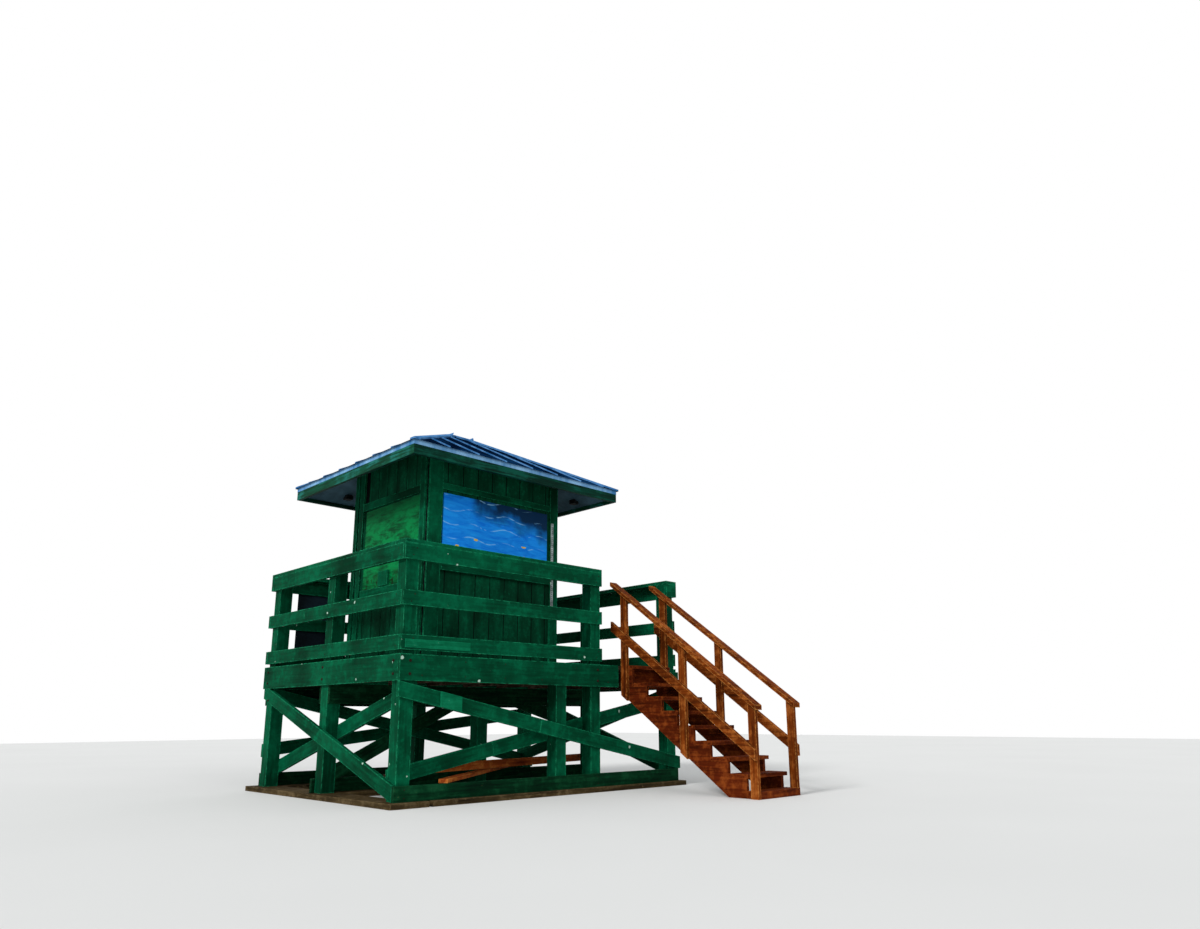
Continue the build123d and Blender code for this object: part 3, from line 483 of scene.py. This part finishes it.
BOARD = 0.038                             # thickness of every framing board
FACE_FOUR, FACE_SIX = 0.089, 0.140        # faces of the boards
EASED_EDGE = 0.003
SHORT_POST = 1.925                        # left faces of the posts near the middle of the rows
STAIR_SIDE_POST = 2.431                   # left face of the front post beside the stair
BEAM_DROP = 0.201                         # how far the beam's boards reach below the joists
SPLICE_GAP = 0.001                        # half the gap between the two lengths of a brace
SILL_JOINT, SILL_JOINT_GAP = 2.055, 0.003    # where the front sill's left length ends, and its gap

deck_low, deck_high = place("deck_fascias")
origin = Vector((deck_low.x, deck_low.y, 0.0))
deck_width, deck_depth = deck_high.x - deck_low.x, deck_high.y - deck_low.y
fascia_base, deck_top = deck_low.z, place("deck_boards")[1].z
guard_top = place("front_posts")[1].z
joist_base = place("deck_joists")[0].z
beam_base = joist_base - BEAM_DROP
plank_top, sill_top = place("sills")[0].z, place("sills")[1].z
post = place("middle_posts")[1].y - place("middle_posts")[0].y
left_post, right_post = BOARD, deck_width - BOARD - post
front_row, back_row = BOARD, deck_depth - BOARD - post
middle_row = place("middle_posts")[0].y - origin.y
end_x, end_y = deck_width - BOARD, deck_depth - BOARD


def add_solid(mesh, outline, axis, low, high):
    """Adds an outline in two directions, carried along the third from low to high."""
    rings = []
    for depth in (low, high):
        ring = []
        for pair in outline:
            corner = list(pair)
            corner.insert(axis, depth)
            ring.append(mesh.verts.new(origin + Vector(corner)))
        rings.append(ring)
        mesh.faces.new(ring)
    for i in range(len(outline)):
        j = (i + 1) % len(outline)
        mesh.faces.new((rings[0][i], rings[0][j], rings[1][j], rings[1][i]))


def oblong(x0, x1, y0, y1, z0, z1):
    """A board square to the tower, as a solid for add_solid."""
    return [(x0, z0), (x1, z0), (x1, z1), (x0, z1)], 1, y0, y1


def make_piece(name, solids, material, along=None, replaced=(), edge=EASED_EDGE):
    """One piece of boards with eased edges. Its grain follows the matrix along, where given."""
    mesh = bmesh.new()
    for solid in solids:
        add_solid(mesh, *solid)
    bmesh.ops.recalc_face_normals(mesh, faces=mesh.faces)
    data = bpy.data.meshes.new(name)
    mesh.to_mesh(data)
    mesh.free()
    data.materials.append(material)
    piece = bpy.data.objects.new(name, data)
    if along is not None:
        data.transform(along.inverted())
        piece.matrix_world = along
    bpy.context.scene.collection.objects.link(piece)
    bevel = piece.modifiers.new("edges", "BEVEL")
    bevel.width = edge
    bevel.segments = 2
    bevel.limit_method = "ANGLE"
    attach(piece, "root")
    if replaced:
        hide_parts(*replaced)


# Braces: how high each one's top edge lies above the planks, at its start and its end

FRONT_OUTER, FRONT_INNER = (1.056, 0.272), (0.271, 0.999)
BACK_OUTER, BACK_INNER = (0.451, 0.865), (1.062, 0.212)
SIDE_OUTER, SIDE_INNER = (0.146, 1.096), (1.065, 0.250)
MIDDLE_LEFT, MIDDLE_RIGHT = (0.277, 1.127), (1.122, 0.661)
OUTER_SPLICE, INNER_SPLICE = 1.697, 1.200    # where the front braces are joined
PATCH_START, PATCH_LENGTH, PATCH_THICKNESS = 0.445, 0.236, 0.025


def cut(outline, direction, limit, side):
    """What is left of an outline past (1) or short of (-1) a limit measured along a direction."""
    kept = []
    for a, b in zip(outline, outline[1:] + outline[:1]):
        here = (a[0] * direction[0] + a[1] * direction[1] - limit) * side
        there = (b[0] * direction[0] + b[1] * direction[1] - limit) * side
        if here >= 0:
            kept.append(a)
        if (here >= 0) != (there >= 0):
            share = here / (here - there)
            kept.append(tuple(p + (q - p) * share for p, q in zip(a, b)))
    return kept


def height_along(span, tops, at):
    """How high a brace's top edge lies above the planks, at a place along it."""
    return tops[0] + (tops[1] - tops[0]) / (span[1] - span[0]) * (at - span[0])


def leaning_board(span, tops):
    """A brace's whole outline, before it is cut to the room between planks and deck."""
    drop = FACE_SIX * math.hypot(1.0, (tops[1] - tops[0]) / (span[1] - span[0]))
    first, last = tops[0] + plank_top, tops[1] + plank_top
    return [(span[0], first), (span[1], last), (span[1], last - drop), (span[0], first - drop)]


def split_at(outline, span, tops, splice):
    """The two lengths of a brace that is joined square across at a place along it."""
    lean = math.atan((tops[1] - tops[0]) / (span[1] - span[0]))
    run = (math.cos(lean), math.sin(lean))
    at = splice * run[0] + (height_along(span, tops, splice) + plank_top) * run[1]
    return [cut(outline, run, at - SPLICE_GAP, -1), cut(outline, run, at + SPLICE_GAP, 1)]


def add_brace(name, axis, span, tops, depth, room, material, replaced=(), splice=None):
    """A leaning board one board thick from this depth, cut to the heights of its room."""
    outline = leaning_board(span, tops)
    outline = cut(cut(outline, (0.0, 1.0), room[0], 1), (0.0, 1.0), room[1], -1)
    outlines = split_at(outline, span, tops, splice) if splice else [outline]
    middle = [sum(span) / 2, sum(tops) / 2 + plank_top]
    middle.insert(axis, depth)
    lean = math.atan((tops[1] - tops[0]) / (span[1] - span[0]))
    turn = Matrix.Rotation(-lean, 4, "Y") if axis == 1 else Matrix.Rotation(lean, 4, "X")
    make_piece(name, [(part, axis, depth, depth + BOARD) for part in outlines], material,
               Matrix.Translation(origin + Vector(middle)) @ turn, replaced)


def add_front_braces():
    """The crossed pair of the front, each in two lengths, and the short patch on the outer one."""
    outer_span, inner_span = (0.0, deck_width), (left_post, end_x)
    add_brace("front_outer_brace", 1, outer_span, FRONT_OUTER, 0.0, (sill_top, fascia_base),
              green["x"], ["front_braces"], OUTER_SPLICE)
    add_brace("front_inner_brace", 1, inner_span, FRONT_INNER, front_row + post,
              (plank_top, fascia_base), green["x"], ["front_braces"], INNER_SPLICE)
    patch_span = (PATCH_START, PATCH_START + PATCH_LENGTH)
    patch_tops = [height_along(outer_span, FRONT_OUTER, x) for x in patch_span]
    make_piece("front_brace_patch", [(leaning_board(patch_span, patch_tops), 1, -PATCH_THICKNESS, 0.0)],
               patch_green, replaced=["front_braces"])


def add_other_braces():
    """The crossed pairs of the back and the sides, and the two braces of the middle row."""
    across, along = (left_post, end_x), (BOARD, end_y)
    whole = (plank_top, fascia_base)
    add_brace("back_outer_brace", 1, across, BACK_OUTER, end_y, (sill_top, beam_base), green["x"],
              ["back_braces"])
    add_brace("back_inner_brace", 1, across, BACK_INNER, back_row - BOARD, whole, green["x"],
              ["back_braces"])
    for side, outer, inner in (("left", 0.0, left_post + post), ("right", end_x, right_post - BOARD)):
        replaced = [side + "_braces"]
        add_brace(side + "_outer_brace", 0, along, SIDE_OUTER, outer, whole, green["y"], replaced)
        add_brace(side + "_inner_brace", 0, along, SIDE_INNER, inner, whole, green["y"], replaced)
    under_joists = (plank_top, joist_base)
    add_brace("middle_left_brace", 1, (left_post + post, SHORT_POST), MIDDLE_LEFT, middle_row,
              under_joists, shaded_low_green)
    add_brace("middle_right_brace", 1, (SHORT_POST + post, right_post - BOARD), MIDDLE_RIGHT,
              middle_row, under_joists, shaded_low_green)


add_front_braces()
add_other_braces()

# Beam, sills and the spare boards

RAIL_PATCH_START, RAIL_PATCH_END, RAIL_PATCH_THICKNESS = 0.040, 0.766, 0.010
RAIL_PATCH_BASE, RAIL_PATCH_TOP = 1.402, 1.482
LOW_BOARD_END, LOW_BOARD_TURN, LOW_BOARD_LENGTH = (0.540, 0.040), 39.5, 2.650
HIGH_BOARD_END, HIGH_BOARD_TURN, HIGH_BOARD_LENGTH = (0.600, 0.788), 15.2, 3.340


def add_beam_and_sills():
    """The boards on both sides of the middle row, under the back edge board and on the planks."""
    behind = middle_row + post
    make_piece("beam_boards", [
        oblong(BOARD, end_x, middle_row - BOARD, middle_row, beam_base, joist_base),
        oblong(BOARD, end_x, behind, behind + BOARD, beam_base, joist_base),
        oblong(left_post, end_x, end_y, deck_depth, beam_base, fascia_base)], shaded_low_green)
    make_piece("sill_boards", [
        oblong(0.0, SILL_JOINT, 0.0, BOARD, plank_top, sill_top),
        oblong(SILL_JOINT + SILL_JOINT_GAP, end_x, 0.0, BOARD, plank_top, sill_top),
        oblong(0.0, end_x, behind, behind + BOARD, plank_top, sill_top),
        oblong(left_post, end_x, end_y, deck_depth, plank_top, sill_top)], shaded_low_green,
        replaced=["sills"])
    make_piece("front_rail_patch", [
        oblong(RAIL_PATCH_START, RAIL_PATCH_END, -RAIL_PATCH_THICKNESS, 0.0, RAIL_PATCH_BASE,
               RAIL_PATCH_TOP)], patch_green)


def add_loose_board(name, end, turn, length, base, width, height):
    """A spare board laid from the place of its left end, turned by this many degrees."""
    along = Matrix.Translation(origin + Vector((*end, base))) @ Matrix.Rotation(
        math.radians(turn), 4, "Z")
    half = width / 2
    outline = [(0.0, -half), (length, -half), (length, half), (0.0, half)]
    corners = [along @ Vector((x, y, 0.0)) - origin for x, y in outline]
    make_piece(name, [([(c.x, c.y) for c in corners], 2, base, base + height)], loose_wood,
               along, ["loose_boards"])


add_beam_and_sills()
# The low board lies flat on the sills, and the high one stands on its edge across it.
add_loose_board("loose_board_low", LOW_BOARD_END, LOW_BOARD_TURN, LOW_BOARD_LENGTH, sill_top,
                FACE_FOUR, BOARD)
add_loose_board("loose_board_high", HIGH_BOARD_END, HIGH_BOARD_TURN, HIGH_BOARD_LENGTH,
                sill_top + BOARD, BOARD, FACE_FOUR)

# Small fittings under the eaves and on the left shutter

EAVE_LAMPS = ((0.766, 2.666, 3.474), (2.922, 0.852, 3.461))    # on the sloping underside
LAMP_SIZE, LAMP_SUNK, LAMP_EDGE = (0.09, 0.09, 0.045), 0.01, 0.008
CLEAT_PLACE, CLEAT_WIDTH, CLEAT_HEIGHT, CLEAT_THICKNESS = (1.46, 2.215), 0.200, 0.170, 0.03


def add_eave_lamps():
    """A small dark box under the eaves at the back left and the right."""
    half_x, half_y = LAMP_SIZE[0] / 2, LAMP_SIZE[1] / 2
    for i, (x, y, z) in enumerate(EAVE_LAMPS):
        make_piece("eave_lamp_%d" % (i + 1), [oblong(x - half_x, x + half_x, y - half_y, y + half_y,
                                                    z - LAMP_SIZE[2], z + LAMP_SUNK)],
                   black_paint, edge=LAMP_EDGE)


def add_cleat():
    """The upright cleat at the foot of the left shutter."""
    face = place("left_shutter")[0].x - origin.x
    y, z = CLEAT_PLACE
    make_piece("shutter_cleat", [oblong(face - CLEAT_THICKNESS, face, y, y + CLEAT_WIDTH, z,
                                        z + CLEAT_HEIGHT)], green["z"])


add_eave_lamps()
add_cleat()

# Nails and bolts

FRONT, LEFT, BACK, RIGHT = (0.0, -1.0, 0.0), (-1.0, 0.0, 0.0), (0.0, 1.0, 0.0), (1.0, 0.0, 0.0)
BOTTOM_RAIL, MIDDLE_RAIL = 0.107, 0.518   # middles of these rails above the deck
TOP_RAIL_DROP = 0.077                     # middle of the top rail below the tops of the posts
NAIL_SPREAD, EDGE_NAIL_SPREAD = 0.035, 0.07
NAIL_RADIUS, NAIL_HEIGHT = 0.006, 0.002
JOIST_COUNT, JOIST_MARGIN = 8, 0.22
NAILED_JOISTS = 6                         # those whose ends meet the front edge board
BOLT_HEIGHTS = (0.06, 0.18)               # above the foot of the edge boards
BOLT_RADIUS, BOLT_HEIGHT = 0.014, 0.008
BRACE_BOLTS = ((0.16, 0.83), (2.74, 0.13))    # along the left side, and below its edge board
HEAD_SIDES, HEAD_TAPER = 8, 0.75


def add_heads(name, spots, radius, height):
    """Round heads, each given by its centre, from the deck's corner, and its outward direction."""
    mesh = bmesh.new()
    for centre, outward in spots:
        out = Vector(outward)
        turn = out.to_track_quat("Z", "Y").to_matrix().to_4x4()
        at = Matrix.Translation(origin + Vector(centre) + out * height / 2) @ turn
        bmesh.ops.create_cone(mesh, cap_ends=True, segments=HEAD_SIDES, radius1=radius,
                              radius2=radius * HEAD_TAPER, depth=height, matrix=at)
    data = bpy.data.meshes.new(name)
    mesh.to_mesh(data)
    mesh.free()
    data.materials.append(nail_rust)
    piece = bpy.data.objects.new(name, data)
    bpy.context.scene.collection.objects.link(piece)
    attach(piece, "root")


def pairs(across, height):
    """Two nails, one above the other, set a little apart."""
    return [(across - NAIL_SPREAD / 2, height - NAIL_SPREAD),
            (across + NAIL_SPREAD / 2, height + NAIL_SPREAD)]


front_columns = [left_post + post / 2, STAIR_SIDE_POST + post / 2]
side_columns = [front_row + post / 2, middle_row + post / 2, back_row + post / 2]
back_columns = [left_post + post / 2, SHORT_POST + post / 2, right_post + post / 2]


def rail_nails(height):
    """The nails of one rail, at the posts on all four sides."""
    spots = [((x, 0.0, z), FRONT) for column in front_columns for x, z in pairs(column, height)]
    for column in side_columns:
        spots += [((0.0, y, z), LEFT) for y, z in pairs(column, height)]
        spots += [((deck_width, y, z), RIGHT) for y, z in pairs(column, height)]
    return spots + [((x, deck_depth, z), BACK) for column in back_columns
                    for x, z in pairs(column, height)]


def edge_board_nails():
    """Nails into the ends of the joists, at the front and the back."""
    step = (deck_width - 2 * JOIST_MARGIN - BOARD) / (JOIST_COUNT - 1)
    middle = (fascia_base + deck_top) / 2
    spots = []
    for i in range(NAILED_JOISTS):
        x = JOIST_MARGIN + BOARD / 2 + step * i
        for y, side in ((0.0, FRONT), (deck_depth, BACK)):
            spots += [((x, y, middle + d), side) for d in (-EDGE_NAIL_SPREAD, EDGE_NAIL_SPREAD)]
    return spots


def add_nails_and_bolts():
    nails = []
    for height in (deck_top + BOTTOM_RAIL, deck_top + MIDDLE_RAIL, guard_top - TOP_RAIL_DROP):
        nails += rail_nails(height)
    nails += edge_board_nails()
    for column in front_columns:
        nails += [((column, 0.0, z), FRONT) for _, z in pairs(column, (plank_top + sill_top) / 2)]
    add_heads("nail_heads", nails, NAIL_RADIUS, NAIL_HEIGHT)
    bolts = [((x, 0.0, fascia_base + d), FRONT) for x in front_columns for d in BOLT_HEIGHTS]
    for x, side in ((0.0, LEFT), (deck_width, RIGHT)):
        bolts += [((x, y, fascia_base + d), side) for y in side_columns for d in BOLT_HEIGHTS]
    bolts += [((0.0, y, fascia_base - drop), LEFT) for y, drop in BRACE_BOLTS]
    add_heads("bolt_heads", bolts, BOLT_RADIUS, BOLT_HEIGHT)


add_nails_and_bolts()

# Camera, at the place and with the lens that the photograph gives

EYE = Vector((-6.012, -7.3235, 0.754))
HEADING = math.radians(44.54)    # from +Y towards +X
TILT = math.radians(13.39)       # above the horizon
ROLL = math.radians(-0.26)
LENS, SENSOR_WIDTH = 25.17, 36.0
SHIFT_UP = 0.046


def make_camera():
    """The camera, turned by its heading, its tilt and its slight roll."""
    forward = Vector((math.sin(HEADING) * math.cos(TILT), math.cos(HEADING) * math.cos(TILT),
                      math.sin(TILT)))
    level_right = Vector((math.cos(HEADING), -math.sin(HEADING), 0.0))
    level_up = level_right.cross(forward)
    right = level_right * math.cos(ROLL) + level_up * math.sin(ROLL)
    up = level_up * math.cos(ROLL) - level_right * math.sin(ROLL)
    data = bpy.data.cameras.new("camera")
    data.lens = LENS
    data.sensor_width = SENSOR_WIDTH
    data.shift_y = SHIFT_UP
    camera = bpy.data.objects.new("camera", data)
    turn = Matrix((right, up, -forward)).transposed().to_4x4()
    camera.matrix_world = Matrix.Translation(EYE) @ turn
    bpy.context.scene.collection.objects.link(camera)
    bpy.context.scene.camera = camera


# Floor, sky and lamps

FLOOR_SIZE, FLOOR_DROP = 60.0, 0.001
SKY_STRENGTH, WHITE_STRENGTH = 0.55, 1.0


def make_floor():
    """A large pale sheet just under the tower."""
    mesh = bpy.data.meshes.new("floor")
    half = FLOOR_SIZE / 2
    corners = [(-half, -half, 0), (half, -half, 0), (half, half, 0), (-half, half, 0)]
    mesh.from_pydata(corners, [], [(0, 1, 2, 3)])
    floor = bpy.data.objects.new("floor", mesh)
    floor.location.z = -FLOOR_DROP
    bpy.context.scene.collection.objects.link(floor)
    shader = Shader("floor_paint")
    tone = shader.noise(shader.coords, scale=0.4, detail=2.0)
    colour = shader.blend(tone, FLOOR_GREY, FLOOR_PALE)
    mesh.materials.append(shader.finish(color=colour, rough=0.9))


def make_sky():
    """Plain soft light from all round, seen as white behind the tower and in what it reflects."""
    world = bpy.data.worlds.new("sky")
    world.use_nodes = True
    tree = world.node_tree
    tree.nodes.clear()
    output = tree.nodes.new("ShaderNodeOutputWorld")
    mix = tree.nodes.new("ShaderNodeMixShader")
    for i, (colour, strength) in enumerate(((SKY_LIGHT, SKY_STRENGTH), (WHITE, WHITE_STRENGTH))):
        light = tree.nodes.new("ShaderNodeBackground")
        light.inputs["Color"].default_value = colour
        light.inputs["Strength"].default_value = strength
        tree.links.new(light.outputs[0], mix.inputs[1 + i])
    path = tree.nodes.new("ShaderNodeLightPath")
    seen = path.outputs["Is Camera Ray"]
    for ray in ("Is Glossy Ray", "Is Transmission Ray"):
        both = tree.nodes.new("ShaderNodeMath")
        both.operation = "ADD"
        both.use_clamp = True
        tree.links.new(seen, both.inputs[0])
        tree.links.new(path.outputs[ray], both.inputs[1])
        seen = both.outputs[0]
    tree.links.new(seen, mix.inputs[0])
    tree.links.new(mix.outputs[0], output.inputs["Surface"])
    bpy.context.scene.world = world


def make_sun(name, heading, elevation, strength, spread):
    """A soft lamp whose light comes from a compass heading (from +Y towards +X)."""
    data = bpy.data.lights.new(name, "SUN")
    data.energy = strength
    data.angle = math.radians(spread)
    lamp = bpy.data.objects.new(name, data)
    a, e = math.radians(heading), math.radians(elevation)
    source = Vector((math.sin(a) * math.cos(e), math.cos(a) * math.cos(e), math.sin(e)))
    lamp.rotation_euler = source.to_track_quat("Z", "Y").to_euler()
    bpy.context.scene.collection.objects.link(lamp)


make_camera()
bpy.context.scene.view_settings.view_transform = "Standard"
make_floor()
make_sky()
make_sun("key", heading=262.0, elevation=34.0, strength=2.2, spread=14.0)
make_sun("fill", heading=190.0, elevation=25.0, strength=0.8, spread=40.0)
